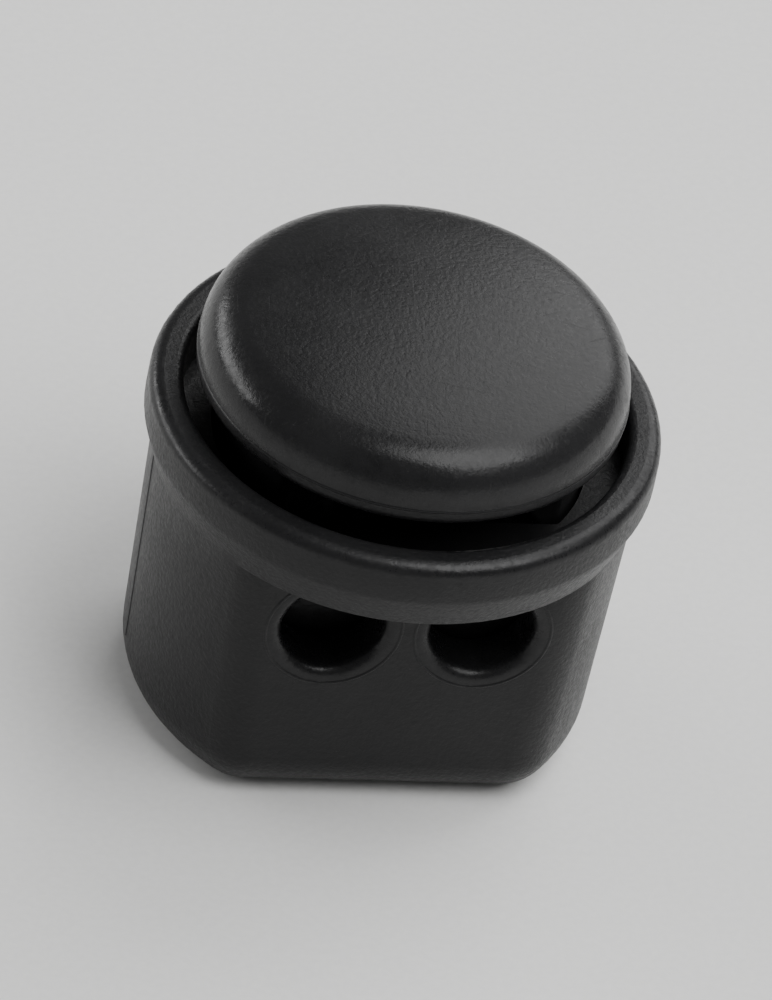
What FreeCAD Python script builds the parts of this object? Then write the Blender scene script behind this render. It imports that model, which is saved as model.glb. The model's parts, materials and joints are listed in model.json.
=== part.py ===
import FreeCAD, Part
import math
import os
import re

import Sketcher

# A two-hole push-button cord lock: a moulded housing, a button that slides in it and a spring.
#
# Millimetres, +Z up along the button's travel, origin at the centre of the housing's base. Two cords
# run side by side along Y, through the housing's walls and the button's stem. The spring holds the
# button up, so that the stem's holes stand above the housing's and pinch the cords between them.

DRIVING = {
    # housing
    "body_height": 11.0,
    "flange_dia": 15.0,
    "flange_edge": 1.3,
    "flange_plate": 0.9,
    "well_dia": 13.0,
    "well_depth": 1.5,
    "barrel_dia": 14.2,
    "barrel_base_dia": 13.6,
    "barrel_across": 10.4,
    "floor_thick": 1.2,
    "cavity_dia": 11.0,
    "cavity_across": 7.2,
    "spigot_dia": 3.7,
    "spigot_height": 0.9,
    "gate_dia": 2.4,
    "gate_depth": 0.25,
    # cord holes
    "hole_dia": 3.0,
    "hole_pitch": 4.4,
    "hole_height": 6.6,
    # button
    "travel": 2.0,
    "seat_gap": 0.1,
    "slide_gap": 0.1,
    "button_dia": 12.6,
    "button_edge": 2.0,
    "button_crown": 0.7,
    "stem_below_holes": 2.7,
    "pocket_dia": 5.4,
    "pocket_web": 0.8,
    # snap lugs on the stem, and the grooves whose closed tops stop them
    "lug_width": 2.6,
    "lug_height": 1.0,
    "lug_reach": 0.3,
    "stop_gap": 0.05,
    # spring
    "wire_dia": 0.45,
    "spring_dia": 5.0,
    # rounded and chamfered edges
    "base_round": 1.6,
    "corner_round": 1.7,
    "rim_round": 0.4,
    "rim_inner_round": 0.25,
    "flange_round": 0.5,
    "mouth_round": 0.35,
    "inner_mouth_round": 0.15,
    "stem_mouth_round": 0.25,
    "stem_corner_round": 0.3,
    "head_round": 1.5,
    "head_under_round": 0.3,
    "lead_chamfer": 0.25,
}

doc = FreeCAD.newDocument("cord_lock")
sheet = doc.addObject("Spreadsheet::Sheet", "Sizes")
for row, (alias, size) in enumerate(DRIVING.items(), start=1):
    sheet.set(f"A{row}", alias)
    sheet.set(f"B{row}", str(size))
    sheet.setAlias(f"B{row}", alias)
doc.recompute()

# Sizes that several features share, as formulas on the sheet's aliases.
WELL_FLOOR = "(body_height - well_depth)"
PLATE_UNDER = f"({WELL_FLOOR} - flange_plate)"
HEAD_UNDER = f"({WELL_FLOOR} + seat_gap + travel)"
HEAD_EDGE_TOP = f"({HEAD_UNDER} + button_edge)"
STEM_HOLES = "(hole_height + travel)"
STEM_BOTTOM = f"({STEM_HOLES} - hole_dia / 2 - stem_below_holes)"
POCKET_TOP = f"({STEM_HOLES} - hole_dia / 2 - pocket_web)"
GROOVE_TOP = f"({STEM_BOTTOM} + lug_height + stop_gap)"
STEM_DIA = "(cavity_dia - 2 * slide_gap)"
STEM_ACROSS = "(cavity_across - 2 * slide_gap)"
LUG_DIA = f"({STEM_DIA} + 2 * lug_reach)"
GROOVE_DIA = f"({LUG_DIA} + 2 * slide_gap)"
GROOVE_WIDTH = "(lug_width + 2 * slide_gap)"


def expression(formula):
    """The formula as an expression outside the sheet, where an alias is Sizes.alias."""
    return re.sub(r"[a-z_]+", lambda word: f"Sizes.{word[0]}" if word[0] in DRIVING else word[0], formula)


def number(formula):
    return float(sheet.evalExpression(expression(formula)))


def new_sketch(body, name, plane, height="0"):
    """A sketch parallel to one of the body's own origin planes, lifted along that plane's normal."""
    sketch = body.newObject("Sketcher::SketchObject", name)
    support = next(f for f in body.Origin.OriginFeatures if f.Role == plane)
    sketch.AttachmentSupport = [(support, "")]
    sketch.MapMode = "FlatFace"
    sketch.setExpression("AttachmentOffset.Base.z", expression(height))
    return sketch


def pin(sketch, geometry, end, x, y):
    """Holds one point of a sketch curve at (x, y), both formulas."""
    for kind, axis, formula in (("DistanceX", -2, x), ("DistanceY", -1, y)):
        distance = number(formula)
        if abs(distance) < 1e-9:
            sketch.addConstraint(Sketcher.Constraint("PointOnObject", geometry, end, axis))
        else:
            index = sketch.addConstraint(Sketcher.Constraint(kind, -1, 1, geometry, end, distance))
            sketch.setExpression(f"Constraints[{index}]", expression(formula))


def arc_side(start, end):
    """The arc between two corners that is centred on the sketch's vertical axis, always anticlockwise.

    Returns it with the numbers of its ends at start and at end.
    """
    centre_y = (end.x**2 + end.y**2 - start.x**2 - start.y**2) / (2 * (end.y - start.y))
    centre = FreeCAD.Vector(0, centre_y, 0)
    to_middle = (start + end) / 2 - centre
    middle = centre + to_middle.normalize() * centre.distanceToPoint(start)
    anticlockwise = (start - centre).cross(end - centre).z > 0
    if anticlockwise:
        return Part.Arc(start, middle, end), (1, 2)
    return Part.Arc(end, middle, start), (2, 1)


def outline(sketch, corners, arcs=()):
    """A closed outline through corners, pairs of formulas. The sides numbered in arcs are arcs."""
    points = [FreeCAD.Vector(number(x), number(y), 0) for x, y in corners]
    sides = []
    ends = []
    for i, start in enumerate(points):
        end = points[(i + 1) % len(points)]
        curve, side_ends = arc_side(start, end) if i in arcs else (Part.LineSegment(start, end), (1, 2))
        sides.append(sketch.addGeometry(curve, False))
        ends.append(side_ends)
    for i, side in enumerate(sides):
        joined = (sides[i - 1], ends[i - 1][1], side, ends[i][0])
        sketch.addConstraint(Sketcher.Constraint("Coincident", *joined))
        if i in arcs:
            sketch.addConstraint(Sketcher.Constraint("PointOnObject", side, 3, -2))
        pin(sketch, side, ends[i][0], *corners[i])


def circle(sketch, x, y, diameter):
    centre = FreeCAD.Vector(number(x), number(y), 0)
    curve = Part.Circle(centre, FreeCAD.Vector(0, 0, 1), number(diameter) / 2)
    side = sketch.addGeometry(curve, False)
    pin(sketch, side, 3, x, y)
    index = sketch.addConstraint(Sketcher.Constraint("Diameter", side, number(diameter)))
    sketch.setExpression(f"Constraints[{index}]", expression(diameter))


def double_d(sketch, diameter, across):
    """A round outline with two flats, facing +Y and -Y."""
    x = f"sqrt(({diameter} / 2)^2 - ({across} / 2)^2)"
    y = f"({across} / 2)"
    outline(sketch, [(x, f"-{y}"), (x, y), (f"-{x}", y), (f"-{x}", f"-{y}")], arcs=(0, 2))


def side_pads(sketch, inner, diameter, width):
    """Two blocks at +X and -X, from inner out to the diameter, with rounded outer sides."""
    y = f"({width} / 2)"
    outer = f"sqrt(({diameter} / 2)^2 - {y}^2)"
    for sign in ("", "-"):
        x_in = f"{sign}({inner})"
        x_out = f"{sign}{outer}"
        outline(sketch, [(x_in, f"-{y}"), (x_out, f"-{y}"), (x_out, y), (x_in, y)], arcs=(1,))


def turned(body, name, sketch):
    """The sketch's outline turned once round its vertical axis."""
    feature = body.newObject("PartDesign::Revolution", name)
    feature.Profile = sketch
    feature.ReferenceAxis = (sketch, ["V_Axis"])
    feature.Angle = 360
    doc.recompute()
    return feature


def pad(body, name, sketch, length):
    feature = body.newObject("PartDesign::Pad", name)
    feature.Profile = sketch
    feature.setExpression("Length", expression(length))
    doc.recompute()
    return feature


def pocket(body, name, sketch, length=None, upwards=False):
    """A cut from the sketch down its normal, or upwards, by length; with no length, right through."""
    before = body.Shape.Volume
    feature = body.newObject("PartDesign::Pocket", name)
    feature.Profile = sketch
    if length:
        feature.Reversed = upwards
        feature.setExpression("Length", expression(length))
    else:
        feature.Type = "ThroughAll"
        feature.Midplane = True
    doc.recompute()
    if body.Shape.Volume > before - 0.01:
        raise RuntimeError(f"{name} cut nothing")
    return feature


def softened(body, name, kind, size, wanted):
    """Rounds or chamfers those of the body's edges that wanted picks."""
    base = body.Tip
    names = [f"Edge{i}" for i, edge in enumerate(base.Shape.Edges, start=1) if wanted(edge)]
    if not names:
        raise RuntimeError(f"{name} found no edges")
    feature = body.newObject(f"PartDesign::{kind}", name)
    feature.Base = (base, names)
    feature.setExpression("Radius" if kind == "Fillet" else "Size", expression(size))
    doc.recompute()
    return feature


def near(a, b):
    return abs(a - b) < 1e-3


def flat_edge(height):
    """Picks edges that lie wholly at that height."""
    level = number(height)
    return lambda edge: near(edge.BoundBox.ZMin, level) and near(edge.BoundBox.ZMax, level)


def ring_edge(height, diameter):
    """Picks the round edges of that diameter at that height."""
    at_height = flat_edge(height)
    radius = number(diameter) / 2
    return lambda edge: at_height(edge) and near(max(edge.BoundBox.XMax, -edge.BoundBox.XMin), radius)


def mouth_edge(across):
    """Picks the cord holes' edges on the two faces that stand across apart."""
    half = number(across) / 2
    width = number("hole_dia")

    def wanted(edge):
        box = edge.BoundBox
        on_face = near(box.YMin, box.YMax) and near(abs(box.YMin), half)
        return on_face and near(box.XLength, width) and near(box.ZLength, width)

    return wanted


def corner_edge(diameter, across, lowest, highest):
    """Picks the upright edges where a double-D's flats meet its round sides."""
    half = number(across) / 2
    reach = number(diameter) / 2
    bottom = number(lowest)
    top = number(highest)

    def wanted(edge):
        box = edge.BoundBox
        upright = near(box.ZMin, bottom) and near(box.ZMax, top)
        on_flat = near(box.YMin, box.YMax) and near(abs(box.YMin), half)
        return upright and on_flat and abs(box.Center.x) < reach

    return wanted


def cord_holes(body, prefix, height):
    """Two holes side by side, right through along Y."""
    sketch = new_sketch(body, f"{prefix}CordHoles", "XZ_Plane")
    circle(sketch, "-hole_pitch / 2", height, "hole_dia")
    circle(sketch, "hole_pitch / 2", height, "hole_dia")
    pocket(body, f"{prefix}CordHolesCut", sketch)


def make_housing():
    """The moulding that the button slides in, with its flange, barrel, cavity and cord holes."""
    body = doc.addObject("PartDesign::Body", "Housing")
    body.Label = "housing"

    section = new_sketch(body, "HousingSection", "XZ_Plane")
    edge_bottom = "(body_height - flange_edge)"
    corners = [
        ("0", "0"),
        ("barrel_base_dia / 2", "0"),
        ("barrel_dia / 2", PLATE_UNDER),
        ("flange_dia / 2", edge_bottom),
        ("flange_dia / 2", "body_height"),
        ("0", "body_height"),
    ]
    outline(section, corners)
    turned(body, "HousingTurned", section)

    flats = new_sketch(body, "Flats", "XY_Plane")
    for sign in ("", "-"):
        y_in = f"{sign}barrel_across / 2"
        y_out = f"{sign}flange_dia / 2"
        x = "flange_dia / 2"
        outline(flats, [(f"-{x}", y_in), (x, y_in), (x, y_out), (f"-{x}", y_out)])
    pocket(body, "FlatsCut", flats, PLATE_UNDER, upwards=True)
    corners = corner_edge("barrel_dia", "barrel_across", "0", PLATE_UNDER)
    softened(body, "BarrelCorners", "Fillet", "corner_round", corners)
    softened(body, "BaseRound", "Fillet", "base_round", flat_edge("0"))

    well = new_sketch(body, "Well", "XY_Plane", "body_height")
    circle(well, "0", "0", "well_dia")
    pocket(body, "WellCut", well, "well_depth")

    cavity = new_sketch(body, "Cavity", "XY_Plane", WELL_FLOOR)
    double_d(cavity, "cavity_dia", "cavity_across")
    pocket(body, "CavityCut", cavity, f"{WELL_FLOOR} - floor_thick")
    corners = corner_edge("cavity_dia", "cavity_across", "floor_thick", WELL_FLOOR)
    softened(body, "CavityCorners", "Fillet", "stem_corner_round", corners)

    grooves = new_sketch(body, "Grooves", "XY_Plane", "floor_thick")
    side_pads(grooves, "cavity_dia / 2 - 1", GROOVE_DIA, GROOVE_WIDTH)
    pocket(body, "GroovesCut", grooves, f"{GROOVE_TOP} - floor_thick", upwards=True)

    spigot = new_sketch(body, "Spigot", "XY_Plane", "floor_thick")
    circle(spigot, "0", "0", "spigot_dia")
    pad(body, "SpigotPad", spigot, "spigot_height")
    spigot_top = ring_edge("floor_thick + spigot_height", "spigot_dia")
    softened(body, "SpigotChamfer", "Chamfer", "lead_chamfer", spigot_top)

    gate = new_sketch(body, "GateRecess", "XY_Plane")
    circle(gate, "0", "0", "gate_dia")
    pocket(body, "GateRecessCut", gate, "gate_depth", upwards=True)

    cord_holes(body, "Housing", "hole_height")
    softened(body, "OuterMouths", "Fillet", "mouth_round", mouth_edge("barrel_across"))
    softened(body, "InnerMouths", "Fillet", "inner_mouth_round", mouth_edge("cavity_across"))
    softened(body, "RimOuter", "Fillet", "rim_round", ring_edge("body_height", "flange_dia"))
    softened(body, "RimInner", "Fillet", "rim_inner_round", ring_edge("body_height", "well_dia"))
    softened(body, "FlangeUnder", "Fillet", "flange_round", ring_edge(edge_bottom, "flange_dia"))
    return body


def make_button():
    """The plunger: a round head with a low crown, on a stem with the cord holes and snap lugs."""
    body = doc.addObject("PartDesign::Body", "Button")
    body.Label = "button"

    section = new_sketch(body, "HeadSection", "XZ_Plane")
    corners = [
        ("0", HEAD_UNDER),
        ("button_dia / 2", HEAD_UNDER),
        ("button_dia / 2", HEAD_EDGE_TOP),
        ("0", f"{HEAD_EDGE_TOP} + button_crown"),
    ]
    outline(section, corners, arcs=(2,))
    turned(body, "HeadTurned", section)
    softened(body, "HeadRound", "Fillet", "head_round", ring_edge(HEAD_EDGE_TOP, "button_dia"))
    softened(body, "HeadUnderRound", "Fillet", "head_under_round", ring_edge(HEAD_UNDER, "button_dia"))

    stem = new_sketch(body, "Stem", "XY_Plane", STEM_BOTTOM)
    double_d(stem, STEM_DIA, STEM_ACROSS)
    pad(body, "StemPad", stem, f"{HEAD_UNDER} - {STEM_BOTTOM}")
    corners = corner_edge(STEM_DIA, STEM_ACROSS, STEM_BOTTOM, HEAD_UNDER)
    softened(body, "StemCorners", "Fillet", "stem_corner_round", corners)
    softened(body, "StemLeadIn", "Chamfer", "lead_chamfer", flat_edge(STEM_BOTTOM))

    lugs = new_sketch(body, "Lugs", "XY_Plane", STEM_BOTTOM)
    side_pads(lugs, f"{STEM_DIA} / 2 - 1", LUG_DIA, "lug_width")
    pad(body, "LugsPad", lugs, "lug_height")
    softened(body, "LugLeadIn", "Chamfer", "lead_chamfer", ring_edge(STEM_BOTTOM, LUG_DIA))

    spring_pocket = new_sketch(body, "SpringPocket", "XY_Plane", STEM_BOTTOM)
    circle(spring_pocket, "0", "0", "pocket_dia")
    pocket(body, "SpringPocketCut", spring_pocket, f"{POCKET_TOP} - {STEM_BOTTOM}", upwards=True)

    cord_holes(body, "Stem", STEM_HOLES)
    softened(body, "StemMouths", "Fillet", "stem_mouth_round", mouth_edge(STEM_ACROSS))
    return body


def make_spring():
    """A compression spring with closed, ground ends, standing between the floor and the pocket."""
    active_turns = 3.0
    closed_turns = 1.1
    ramp_turns = 0.4
    points_per_turn = 16
    bottom = number("floor_thick")
    top = number(POCKET_TOP)
    wire = number("wire_dia")
    coil_radius = (number("spring_dia") - wire) / 2
    # The closed coils lie against each other, and each end is ground off the first of them.
    closed_pitch = wire * 1.04
    end_rise = -wire / 4
    turns = 2 * closed_turns + 2 * ramp_turns + active_turns
    spare = top - bottom - 2 * end_rise - turns * closed_pitch
    extra_pitch = spare / (active_turns + ramp_turns)

    def rise(turn):
        """How far the wire has climbed from its end, up to the middle of the spring."""
        ramp = min(max(turn - closed_turns, 0), ramp_turns)
        after = max(turn - closed_turns - ramp_turns, 0)
        return end_rise + turn * closed_pitch + extra_pitch * (ramp**2 / ramp_turns / 2 + after)

    points = []
    count = round(turns * points_per_turn)
    for i in range(count + 1):
        turn = turns * i / count
        height = bottom + rise(turn) if turn < turns / 2 else top - rise(turns - turn)
        angle = 2 * math.pi * turn
        points.append(FreeCAD.Vector(coil_radius * math.cos(angle), coil_radius * math.sin(angle), height))
    path = Part.BSplineCurve()
    path.interpolate(points)
    section = Part.Wire(Part.Circle(points[0], path.tangent(path.FirstParameter)[0], wire / 2).toShape())
    coil = Part.Wire(path.toShape()).makePipeShell([section], True, True)
    between = Part.makeCylinder(coil_radius + wire, top - bottom, FreeCAD.Vector(0, 0, bottom))

    spring = doc.addObject("Part::Feature", "Spring")
    spring.Label = "spring"
    spring.Shape = coil.common(between)
    spring.Placement = FreeCAD.Placement()
    return spring


def check(part):
    """Stops unless the sub-part's shape is one whole, valid solid."""
    shape = part.Shape
    if shape.isNull() or not shape.isValid() or len(shape.Solids) != 1:
        raise RuntimeError(f"{part.Label} is not one valid solid")
    box = shape.optimalBoundingBox()
    corners = (box.XMin, box.XMax, box.YMin, box.YMax, box.ZMin, box.ZMax)
    print(f"{part.Label}: volume {shape.Volume:.2f}, box", *(f"{c:.3f}" for c in corners))


sub_parts = [make_housing(), make_button(), make_spring()]
doc.recompute()
for thing in doc.Objects:
    if "Invalid" in thing.State or "Error" in thing.State:
        raise RuntimeError(f"{thing.Label} failed: {thing.State}")
for part in sub_parts:
    check(part)

os.makedirs("parts", exist_ok=True)
for part in sub_parts:
    part.Shape.exportStep(f"parts/{part.Label}.step")
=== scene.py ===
import json
import math

import bmesh
import bpy
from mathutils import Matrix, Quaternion, Vector, noise
from mathutils.bvhtree import BVHTree


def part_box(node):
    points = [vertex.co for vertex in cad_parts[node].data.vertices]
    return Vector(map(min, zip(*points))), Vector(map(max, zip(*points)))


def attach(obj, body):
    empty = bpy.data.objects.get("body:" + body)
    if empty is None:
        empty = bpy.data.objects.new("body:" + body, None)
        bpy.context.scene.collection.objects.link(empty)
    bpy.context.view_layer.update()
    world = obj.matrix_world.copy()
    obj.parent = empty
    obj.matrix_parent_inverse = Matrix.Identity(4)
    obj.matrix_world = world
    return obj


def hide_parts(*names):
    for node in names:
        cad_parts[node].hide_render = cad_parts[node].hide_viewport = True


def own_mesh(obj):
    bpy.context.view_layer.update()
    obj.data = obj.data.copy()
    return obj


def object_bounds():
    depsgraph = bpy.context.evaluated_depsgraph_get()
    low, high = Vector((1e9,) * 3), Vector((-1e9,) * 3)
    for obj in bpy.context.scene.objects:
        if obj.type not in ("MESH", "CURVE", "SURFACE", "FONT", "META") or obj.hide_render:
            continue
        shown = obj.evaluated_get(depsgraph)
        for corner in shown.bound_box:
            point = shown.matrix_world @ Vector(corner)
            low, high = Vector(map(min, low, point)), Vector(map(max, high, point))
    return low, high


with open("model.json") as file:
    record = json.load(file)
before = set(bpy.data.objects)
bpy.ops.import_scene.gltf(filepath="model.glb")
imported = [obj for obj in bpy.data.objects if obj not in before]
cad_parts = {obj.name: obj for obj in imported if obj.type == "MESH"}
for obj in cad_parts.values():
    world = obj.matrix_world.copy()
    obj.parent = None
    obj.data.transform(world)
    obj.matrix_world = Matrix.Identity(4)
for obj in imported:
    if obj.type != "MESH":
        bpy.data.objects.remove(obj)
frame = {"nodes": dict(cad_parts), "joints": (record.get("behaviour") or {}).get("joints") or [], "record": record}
CAD_LOW, CAD_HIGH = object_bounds()
HOUSING_LOW, HOUSING_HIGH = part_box("housing")
_, BUTTON_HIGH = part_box("button")
SPRING_LOW, SPRING_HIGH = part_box("spring")
MOUNTS = {mount["name"]: mount for mount in frame["record"]["mounts"]}
TRAVEL = frame["joints"][0]["range_m"][1]
CENTRE = (CAD_LOW + CAD_HIGH) / 2
MM = 0.001

# The camera looks down at the lock's front, a little from the left. Its roll makes the lock lean right.
VIEW_AZIMUTH = -16
VIEW_ELEVATION = 39.5
VIEW_ROLL = 12
VIEW_DISTANCE = 0.5
VIEW_HEIGHT = 29 * MM
SENSOR_WIDTH = 36

LAMP_DISTANCE = 0.30
WORLD_STRENGTH = 0.20
FLOOR_SIZE = 1.2
FLOOR_GAP = 0.02 * MM

# Most of a noise texture's values lie between these.
NOISE_SPREAD = (0.3, 0.7)

# The moulded plastic. Relief is in millimetres. The scratches are the rare peaks of a drawn-out noise.
PLASTIC_IOR = 1.48
PLASTIC_SPECULAR = 0.27
FLOW_RELIEF = 0.006
CLOUD_ROUGHNESS = 0.025
SCRATCH_ANGLES = (12, 55, 97, 151)
SCRATCH_STRETCH = (0.13, 6.0, 1.0)
SCRATCH_PEAKS = (0.725, 0.765)
SCRATCH_ROUGHNESS = 0.10
SCRATCH_RELIEF = 0.0012
WORN_BRIGHTNESS = 2.2
WORN_COLOUR = 0.30
WORN_ROUGHNESS = 0.14
WORN_GRAIN = 0.5
DUST_COLOUR = (0.16, 0.155, 0.15)
DUST_SHARE = 0.12

# CAD faces that share an edge have it in common to within JOIN_WITHIN. A corner of more than SHARP_FROM
# degrees is a real one, and not a facet of something round.
JOIN_WITHIN = 1e-7
SHARP_FROM = 60

# The fine raised lines that a mould leaves. The section's points are shares of their width and height.
RIDGE_WIDTH = 0.16 * MM
RIDGE_HEIGHT = 0.028 * MM
RIDGE_SIDE = [(0.5, -1.0), (0.3, 0.15), (0.12, 0.85)]
RIDGE_SECTION = [(-share, rise) for share, rise in RIDGE_SIDE] + [(0, 1.0)] + RIDGE_SIDE[::-1]
FEELER_REACH = 20 * MM
SEAM_ABOVE_BASE = 1.7 * MM
SEAM_BELOW_TOP = 2.4 * MM
CORE_MARK_GAP = 0.5 * MM
CORE_MARK_START = 132
CORE_MARK_SWEEP = 276

GATE_DIMPLE = 0.25 * MM
GATE_RADIUS = 0.42 * MM
GATE_HEIGHT = 0.17 * MM
GATE_ROOT = 0.03 * MM
GATE_ROUGHNESS = 0.12 * MM

WIRE_RADIUS = 0.225 * MM
CLOSED_TURNS = 1.1
RAMP_TURNS = 0.4
ACTIVE_TURNS = 3.0
CLOSED_PITCH = WIRE_RADIUS * 2 * 1.04
GROUND_OFF = WIRE_RADIUS / 2


def link(obj):
    bpy.context.scene.collection.objects.link(obj)
    return obj


def direction(azimuth, elevation):
    """The unit vector towards that azimuth and elevation in degrees. Azimuth 0 is the front, -Y."""
    turn, rise = math.radians(azimuth), math.radians(elevation)
    level = math.cos(rise)
    return Vector((math.sin(turn) * level, -math.cos(turn) * level, math.sin(rise)))


# ---- studio -----------------------------------------------------------------------------------------


def make_camera():
    data = bpy.data.cameras.new("camera")
    data.sensor_width = SENSOR_WIDTH
    data.lens = SENSOR_WIDTH * VIEW_DISTANCE / VIEW_HEIGHT
    data.clip_start = 0.01
    camera = link(bpy.data.objects.new("camera", data))
    back = direction(VIEW_AZIMUTH, VIEW_ELEVATION)
    camera.location = CENTRE + back * VIEW_DISTANCE
    camera.rotation_mode = "QUATERNION"
    roll = Quaternion((0, 0, 1), math.radians(VIEW_ROLL))
    camera.rotation_quaternion = back.to_track_quat("Z", "Y") @ roll
    bpy.context.scene.camera = camera


def make_softbox(name, azimuth, elevation, width, height, power):
    data = bpy.data.lights.new(name, "AREA")
    data.shape = "RECTANGLE"
    data.size = width
    data.size_y = height
    data.energy = power
    lamp = link(bpy.data.objects.new(name, data))
    away = direction(azimuth, elevation)
    lamp.location = CENTRE + away * LAMP_DISTANCE
    lamp.rotation_mode = "QUATERNION"
    lamp.rotation_quaternion = away.to_track_quat("Z", "Y")


def make_world():
    world = bpy.data.worlds.new("studio")
    world.use_nodes = True
    background = world.node_tree.nodes["Background"]
    background.inputs["Color"].default_value = (1, 1, 1, 1)
    background.inputs["Strength"].default_value = WORLD_STRENGTH
    bpy.context.scene.world = world


def make_floor():
    half = FLOOR_SIZE / 2
    mesh = bpy.data.meshes.new("floor")
    corners = [(-half, -half, 0), (half, -half, 0), (half, half, 0), (-half, half, 0)]
    mesh.from_pydata(corners, [], [(0, 1, 2, 3)])
    floor = link(bpy.data.objects.new("floor", mesh))
    floor.location.z = CAD_LOW.z - FLOOR_GAP
    graph = Graph("floor_paper")
    grain = graph.span(graph.noise(4, detail=3), *NOISE_SPREAD)
    graph.set("Base Color", graph.blend(grain, (0.78, 0.78, 0.77), (0.81, 0.81, 0.80)))
    graph.shader.inputs["Roughness"].default_value = 0.75
    floor.data.materials.append(graph.material)


# ---- materials --------------------------------------------------------------------------------------


class Graph:
    """A material's node tree. Its textures work in millimetres in the lock's own frame."""

    def __init__(self, name):
        self.material = bpy.data.materials.new(name)
        self.material.use_nodes = True
        self.tree = self.material.node_tree
        self.shader = self.tree.nodes["Principled BSDF"]
        place = self.add("TexCoord").outputs["Object"]
        self.place = self.add("VectorMath", {0: place, "Scale": 1 / MM}, operation="SCALE").outputs[0]

    def add(self, kind, inputs=None, **settings):
        node = self.tree.nodes.new("ShaderNode" + kind)
        for name, value in settings.items():
            setattr(node, name, value)
        for name, value in (inputs or {}).items():
            self.put(node.inputs[name], value)
        return node

    def put(self, socket, value):
        if isinstance(value, bpy.types.NodeSocket):
            self.tree.links.new(value, socket)
        else:
            socket.default_value = value

    def set(self, name, value):
        self.put(self.shader.inputs[name], value)

    def math(self, operation, *values):
        return self.add("Math", dict(enumerate(values)), operation=operation).outputs[0]

    def vector(self, operation, *values):
        return self.add("VectorMath", dict(enumerate(values)), operation=operation).outputs[0]

    def length(self, *values):
        joined = self.add("CombineXYZ", dict(enumerate(values))).outputs[0]
        return self.add("VectorMath", {0: joined}, operation="LENGTH").outputs["Value"]

    def span(self, value, low, high, to_low=0.0, to_high=1.0):
        """The value mapped from low..high to to_low..to_high, with soft ends."""
        inputs = {"Value": value, "From Min": low, "From Max": high}
        inputs |= {"To Min": to_low, "To Max": to_high}
        return self.add("MapRange", inputs, interpolation_type="SMOOTHSTEP").outputs[0]

    def noise(self, per_mm, detail=2.0, roughness=0.5, stretch=(1, 1, 1), offset=0.0):
        """Cloudy noise, about that many features to a millimetre."""
        inputs = {"Vector": self.place, "Scale": stretch, "Location": (offset,) * 3}
        place = self.add("Mapping", inputs).outputs[0]
        inputs = {"Vector": place, "Scale": per_mm, "Detail": detail, "Roughness": roughness}
        return self.add("TexNoise", inputs).outputs["Fac"]

    def scratches(self, angles, offset):
        """1 on sparse fine scratches, roughly along each of the angles, and 0 elsewhere."""
        found = 0.0
        for i, angle in enumerate(angles):
            inputs = {"Vector": self.place, "Rotation": (0, 0, math.radians(angle))}
            drawn = self.vector("MULTIPLY", self.add("Mapping", inputs).outputs[0], SCRATCH_STRETCH)
            spot = self.vector("ADD", drawn, (offset + 7 * i,) * 3)
            inputs = {"Vector": spot, "Scale": 2.3, "Detail": 1, "Distortion": 0.25}
            line = self.span(self.add("TexNoise", inputs).outputs["Fac"], *SCRATCH_PEAKS)
            found = self.math("MAXIMUM", found, line)
        return found

    def blend(self, factor, first, second):
        """A colour from first, where factor is 0, to second, where it is 1."""
        node = self.add("Mix", {"Factor": factor}, data_type="RGBA")
        for socket, colour in ((node.inputs[6], first), (node.inputs[7], second)):
            self.put(socket, colour if isinstance(colour, bpy.types.NodeSocket) else (*colour, 1))
        return node.outputs[2]

    def ring(self, radius, height, width):
        """1 on a ring round the lock's axis at that radius and height, fading to 0 at width from it."""
        x, y, z = self.add("SeparateXYZ", {0: self.place}).outputs
        across = self.math("SUBTRACT", self.length(x, y), radius)
        apart = self.length(across, self.math("SUBTRACT", z, height))
        return self.span(apart, 0, width, 1, 0)

    def bores(self, middle, height, radius, width):
        """1 on the walls of the bores along Y at x = +-middle, fading to 0 at width from them."""
        x, _, z = self.add("SeparateXYZ", {0: self.place}).outputs
        across = self.math("SUBTRACT", self.math("ABSOLUTE", x), middle)
        out = self.length(across, self.math("SUBTRACT", z, height))
        apart = self.math("ABSOLUTE", self.math("SUBTRACT", out, radius))
        return self.span(apart, 0, width, 1, 0)

    def bump(self, layers):
        """Relief from (height socket, millimetres of height) pairs, fed to the shader."""
        normal = None
        for height, rise in layers:
            inputs = {"Height": height, "Distance": rise * MM, "Strength": 1.0}
            if normal:
                inputs["Normal"] = normal
            normal = self.add("Bump", inputs).outputs[0]
        self.set("Normal", normal)


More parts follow.
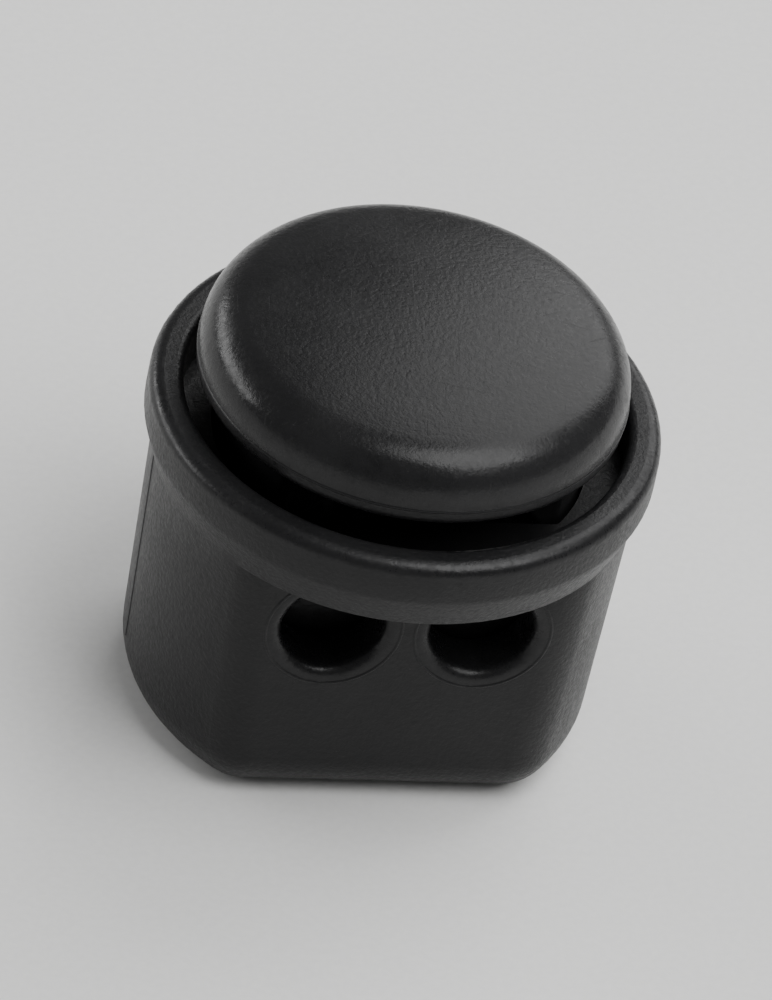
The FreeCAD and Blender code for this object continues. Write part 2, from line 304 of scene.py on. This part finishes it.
def moulded_plastic(name, dark, light, gloss, relief, rim, bores, seed):
    """Black acetal from a spark-eroded mould: fine grain, faint flow marks, and edges polished by use.

    The colour runs from dark to light, and gloss is the least and the most roughness. relief is the
    grain's depth in millimetres. rim and bores are the arguments of Graph.ring, where fingers rub the
    plastic, and Graph.bores, where cords do.
    """
    graph = Graph(name)
    grain = graph.noise(7, detail=3, roughness=0.6, offset=seed)
    pores = graph.noise(16, detail=1, offset=seed + 3)
    cloud = graph.noise(0.35, detail=3, offset=seed + 5)
    flow = graph.noise(0.5, detail=2, stretch=(0.6, 1.3, 1.0), offset=seed + 9)
    scuff = graph.noise(1.7, detail=5, roughness=0.65, offset=seed + 2)
    lines = graph.scratches(SCRATCH_ANGLES, offset=seed + 7)
    rubbed = graph.math("MAXIMUM", graph.ring(*rim), graph.bores(*bores))
    wear = graph.math("MULTIPLY", rubbed, graph.span(scuff, 0.33, 0.58))
    dust = graph.math("MULTIPLY", graph.span(pores, 0.66, 0.78), graph.span(scuff, 0.5, 0.7))

    worn = tuple(WORN_BRIGHTNESS * channel for channel in light)
    colour = graph.blend(graph.span(cloud, *NOISE_SPREAD), dark, light)
    colour = graph.blend(graph.math("MULTIPLY", wear, WORN_COLOUR), colour, worn)
    colour = graph.blend(graph.math("MULTIPLY", dust, DUST_SHARE), colour, DUST_COLOUR)
    graph.set("Base Color", colour)

    rough = graph.span(grain, 0.25, 0.75, *gloss)
    uneven = graph.span(cloud, *NOISE_SPREAD, -CLOUD_ROUGHNESS, CLOUD_ROUGHNESS)
    rough = graph.math("ADD", rough, uneven)
    rough = graph.math("SUBTRACT", rough, graph.math("MULTIPLY", wear, WORN_ROUGHNESS))
    rough = graph.math("ADD", rough, graph.math("MULTIPLY", lines, SCRATCH_ROUGHNESS))
    graph.set("Roughness", rough)
    graph.shader.inputs["IOR"].default_value = PLASTIC_IOR
    graph.shader.inputs["Specular IOR Level"].default_value = PLASTIC_SPECULAR

    kept = graph.math("SUBTRACT", 1.0, graph.math("MULTIPLY", rubbed, WORN_GRAIN))
    texture = graph.math("MULTIPLY", grain, kept)
    grooves = graph.math("MULTIPLY", lines, -1.0)
    graph.bump([(flow, FLOW_RELIEF), (texture, relief), (grooves, SCRATCH_RELIEF)])
    return graph.material


def drawn_steel():
    """Stainless spring wire, with the lengthwise marks of the die that it was drawn through."""
    graph = Graph("spring_steel")
    marks = graph.noise(14, detail=2, stretch=(1.0, 1.0, 6.0))
    tint = graph.span(graph.noise(1.2, detail=3, offset=4), *NOISE_SPREAD)
    graph.set("Base Color", graph.blend(tint, (0.50, 0.49, 0.47), (0.64, 0.63, 0.61)))
    graph.set("Roughness", graph.span(marks, *NOISE_SPREAD, 0.20, 0.36))
    graph.shader.inputs["Metallic"].default_value = 1
    graph.bump([(marks, 0.002)])
    return graph.material


# ---- pieces -----------------------------------------------------------------------------------------


def dress_piece(piece, material, body):
    """Gives a new piece its material, and makes it ride on a body."""
    piece.data.materials.append(material)
    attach(piece, body)


def mesh_piece(name, points, faces):
    """A closed piece with outward faces, shaded smoothly but for its real corners."""
    mesh = bpy.data.meshes.new(name)
    mesh.from_pydata(points, [], faces)
    mesh.validate()
    skin = bmesh.new()
    skin.from_mesh(mesh)
    bmesh.ops.recalc_face_normals(skin, faces=skin.faces)
    for face in skin.faces:
        face.smooth = True
    for edge in skin.edges:
        edge.smooth = edge.calc_face_angle() < math.radians(SHARP_FROM)
    skin.to_mesh(mesh)
    skin.free()
    return link(bpy.data.objects.new(name, mesh))


def loft(name, loops, closed):
    """A piece whose skin runs through loops of points, closed into a ring or capped at both ends."""
    count, around = len(loops), len(loops[0])
    faces = []
    for i in range(count if closed else count - 1):
        here, after = i * around, (i + 1) % count * around
        for j in range(around):
            k = (j + 1) % around
            faces.append((here + j, here + k, after + k, after + j))
    if not closed:
        faces.append(tuple(range(around)))
        faces.append(tuple(range((count - 1) * around, count * around)))
    return mesh_piece(name, [point for loop in loops for point in loop], faces)


def ridge(name, node, feelers, closed):
    """A fine raised line on a node's surface, as plastic leaves where two parts of a mould meet.

    Each feeler is a point outside the node and the direction in which it feels for the surface.
    """
    surface = BVHTree.FromObject(frame["nodes"][node], bpy.context.evaluated_depsgraph_get())
    found = [surface.ray_cast(point, heading)[:2] for point, heading in feelers]
    last = len(found) - 1
    loops = []
    for i, (place, normal) in enumerate(found):
        before = found[i - 1 if closed else max(i - 1, 0)][0]
        after = found[(i + 1) % len(found) if closed else min(i + 1, last)][0]
        side = (after - before).cross(normal).normalized() * RIDGE_WIDTH
        out = normal * RIDGE_HEIGHT
        loops.append([place + side * share + out * rise for share, rise in RIDGE_SECTION])
    return loft(name, loops, closed)


def make_housing_seams(material):
    """The line down each side of the barrel where the two halves of its mould met."""
    low, high = HOUSING_LOW.z + SEAM_ABOVE_BASE, HOUSING_HIGH.z - SEAM_BELOW_TOP
    count = 60
    for side, outward in (("left", Vector((-1, 0, 0))), ("right", Vector((1, 0, 0)))):
        feelers = []
        for i in range(count + 1):
            height = low + (high - low) * i / count
            feelers.append((outward * FEELER_REACH + Vector((0, 0, height)), -outward))
        seam = ridge(f"housing_seam_{side}", "housing", feelers, closed=False)
        dress_piece(seam, material, "housing")


def make_core_marks(material):
    """The line round each cord hole of the housing, up to its flange, where a side core met it."""
    count = 84
    for name, mount in MOUNTS.items():
        if not name.startswith("cord_hole"):
            continue
        centre, outward = Vector(mount["pos_m"]), Vector(mount["axis"])
        radius = mount["dims"]["r_mm"] * MM + CORE_MARK_GAP
        feelers = []
        for i in range(count + 1):
            angle = math.radians(CORE_MARK_START + CORE_MARK_SWEEP * i / count)
            spot = centre + Vector((math.cos(angle), 0, math.sin(angle))) * radius
            feelers.append((spot + outward * FEELER_REACH, -outward))
        mark = ridge(f"{name}_core_mark", "housing", feelers, closed=False)
        dress_piece(mark, material, "housing")


def make_button_seam(material):
    """The line round the widest part of the button's head, where its mould opened."""
    rim = BUTTON_HIGH.x - JOIN_WITHIN * 10
    widest = [v.co.z for v in frame["nodes"]["button"].data.vertices if v.co.xy.length > rim]
    middle = Vector((0, 0, (min(widest) + max(widest)) / 2))
    count = 240
    feelers = []
    for i in range(count):
        outward = direction(360 * i / count + 90, 0)
        feelers.append((middle + outward * FEELER_REACH, -outward))
    seam = ridge("button_seam", "button", feelers, closed=True)
    dress_piece(seam, material, "button")


def make_gate_mark(material):
    """The torn stub in the dimple of the housing's base, where the plastic was fed in."""
    around, rows = 40, 10
    loops = []
    for row in range(rows):
        share = row / rows
        loop = []
        for i in range(around):
            angle = 2 * math.pi * i / around
            spot = Vector((math.cos(angle), math.sin(angle), 0)) * GATE_RADIUS * (1 - share)
            torn = 0.5 + 0.5 * noise.noise(spot / GATE_ROUGHNESS + Vector((3, 1, 7)))
            drop = (GATE_ROOT + GATE_HEIGHT) * min(1, share * 6) * (0.45 + 0.55 * torn)
            spot.z = GATE_DIMPLE + GATE_ROOT - drop
            loop.append(spot)
        loops.append(loop)
    dress_piece(loft("gate_mark", loops, closed=False), material, "housing")


def make_spring(material):
    """The coil, with closed ends ground flat. It rides with the housing and keeps its length when the button goes
    down.
    """
    bottom, top = SPRING_LOW.z, SPRING_HIGH.z
    coil_radius = SPRING_HIGH.y - WIRE_RADIUS
    turns = 2 * (CLOSED_TURNS + RAMP_TURNS) + ACTIVE_TURNS
    spare = top - bottom + 2 * GROUND_OFF - turns * CLOSED_PITCH
    extra_pitch = spare / (ACTIVE_TURNS + RAMP_TURNS)

    def rise(turn):
        """How far the wire's middle has risen over the coil's end, that many turns from its own end."""
        ramp = min(max(turn - CLOSED_TURNS, 0), RAMP_TURNS)
        after = max(turn - CLOSED_TURNS - RAMP_TURNS, 0)
        return turn * CLOSED_PITCH - GROUND_OFF + extra_pitch * (ramp**2 / RAMP_TURNS / 2 + after)

    def wire(height, outward):
        """The wire's outline at that height, less what is ground off level with the spring's ends."""
        middle = (max(height - WIRE_RADIUS, bottom) + min(height + WIRE_RADIUS, top)) / 2
        offset = middle - height
        around = 24
        loop = []
        for i in range(around):
            angle = 2 * math.pi * i / around
            across, up = math.cos(angle), math.sin(angle)
            reach = math.sqrt(WIRE_RADIUS**2 - (offset * across) ** 2) - up * offset
            if abs(up) > 1e-9:
                reach = min(reach, ((top if up > 0 else bottom) - middle) / up)
            loop.append(outward * (coil_radius + across * reach) + Vector((0, 0, middle + up * reach)))
        return loop

    per_turn = 64
    steps = round(turns * per_turn)
    loops = []
    for step in range(steps + 1):
        turn = turns * step / steps
        height = bottom + rise(turn) if turn < turns / 2 else top - rise(turns - turn)
        loops.append(wire(height, direction(360 * turn, 0)))
    spring = loft("spring_coil", loops, closed=False)
    dress_piece(spring, material, "housing")
    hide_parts("spring")
    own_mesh(spring)


def true_edges():
    """A node group that joins a CAD node's faces into one skin, with only its real edges sharp.

    It drops the normals stored with the faces, which no longer fit once they are joined.
    """
    group = bpy.data.node_groups.new("true_edges", "GeometryNodeTree")
    for side in ("INPUT", "OUTPUT"):
        group.interface.new_socket("Geometry", in_out=side, socket_type="NodeSocketGeometry")
    enter = group.nodes.new("NodeGroupInput")
    leave = group.nodes.new("NodeGroupOutput")
    merge = group.nodes.new("GeometryNodeMergeByDistance")
    merge.inputs["Distance"].default_value = JOIN_WITHIN
    clear = group.nodes.new("GeometryNodeRemoveAttribute")
    clear.inputs["Name"].default_value = "custom_normal"
    bend = group.nodes.new("GeometryNodeInputMeshEdgeAngle")
    steep = group.nodes.new("FunctionNodeCompare")
    steep.inputs["B"].default_value = math.radians(SHARP_FROM)
    mark = group.nodes.new("GeometryNodeStoreNamedAttribute")
    mark.data_type = "BOOLEAN"
    mark.domain = "EDGE"
    mark.inputs["Name"].default_value = "sharp_edge"
    group.links.new(enter.outputs[0], merge.inputs["Geometry"])
    group.links.new(merge.outputs[0], clear.inputs["Geometry"])
    group.links.new(clear.outputs[0], mark.inputs["Geometry"])
    group.links.new(bend.outputs["Unsigned Angle"], steep.inputs["A"])
    group.links.new(steep.outputs[0], mark.inputs["Value"])
    group.links.new(mark.outputs[0], leave.inputs[0])
    return group


def dress_node(node, material, edges):
    """Gives a CAD node its material, and shades it smoothly across the joins of its rounded faces."""
    piece = frame["nodes"][node]
    piece.data.materials.clear()
    piece.data.materials.append(material)
    piece.modifiers.new("true_edges", "NODES").node_group = edges
    weighted = piece.modifiers.new("weighted_normals", "WEIGHTED_NORMAL")
    weighted.keep_sharp = True


def make_lock():
    edges = true_edges()
    bore = MOUNTS["cord_hole_front_right"]
    middle, height, radius = bore["pos_m"][0] / MM, bore["pos_m"][2] / MM, bore["dims"]["r_mm"]
    housing = moulded_plastic(
        "housing_plastic",
        dark=(0.007, 0.007, 0.0075),
        light=(0.010, 0.010, 0.0105),
        gloss=(0.34, 0.48),
        relief=0.022,
        rim=(HOUSING_HIGH.x / MM - 0.15, HOUSING_HIGH.z / MM - 0.15, 0.55),
        bores=(middle, height, radius, 0.6),
        seed=0,
    )
    button = moulded_plastic(
        "button_plastic",
        dark=(0.008, 0.008, 0.0085),
        light=(0.012, 0.012, 0.0125),
        gloss=(0.28, 0.38),
        relief=0.014,
        rim=(BUTTON_HIGH.x / MM - 0.4, BUTTON_HIGH.z / MM - 1.3, 1.2),
        bores=(middle, height + TRAVEL / MM, radius, 0.4),
        seed=31,
    )
    dress_node("housing", housing, edges)
    dress_node("button", button, edges)
    make_housing_seams(housing)
    make_core_marks(housing)
    make_button_seam(button)
    make_gate_mark(housing)
    make_spring(drawn_steel())


make_camera()
make_world()
make_floor()
make_softbox("key", azimuth=137, elevation=42, width=0.22, height=0.30, power=0.64)
make_softbox("side_key", azimuth=48, elevation=62, width=0.22, height=0.24, power=0.92)
make_softbox("rim_light", azimuth=-124, elevation=15, width=0.30, height=0.08, power=0.46)
make_lock()
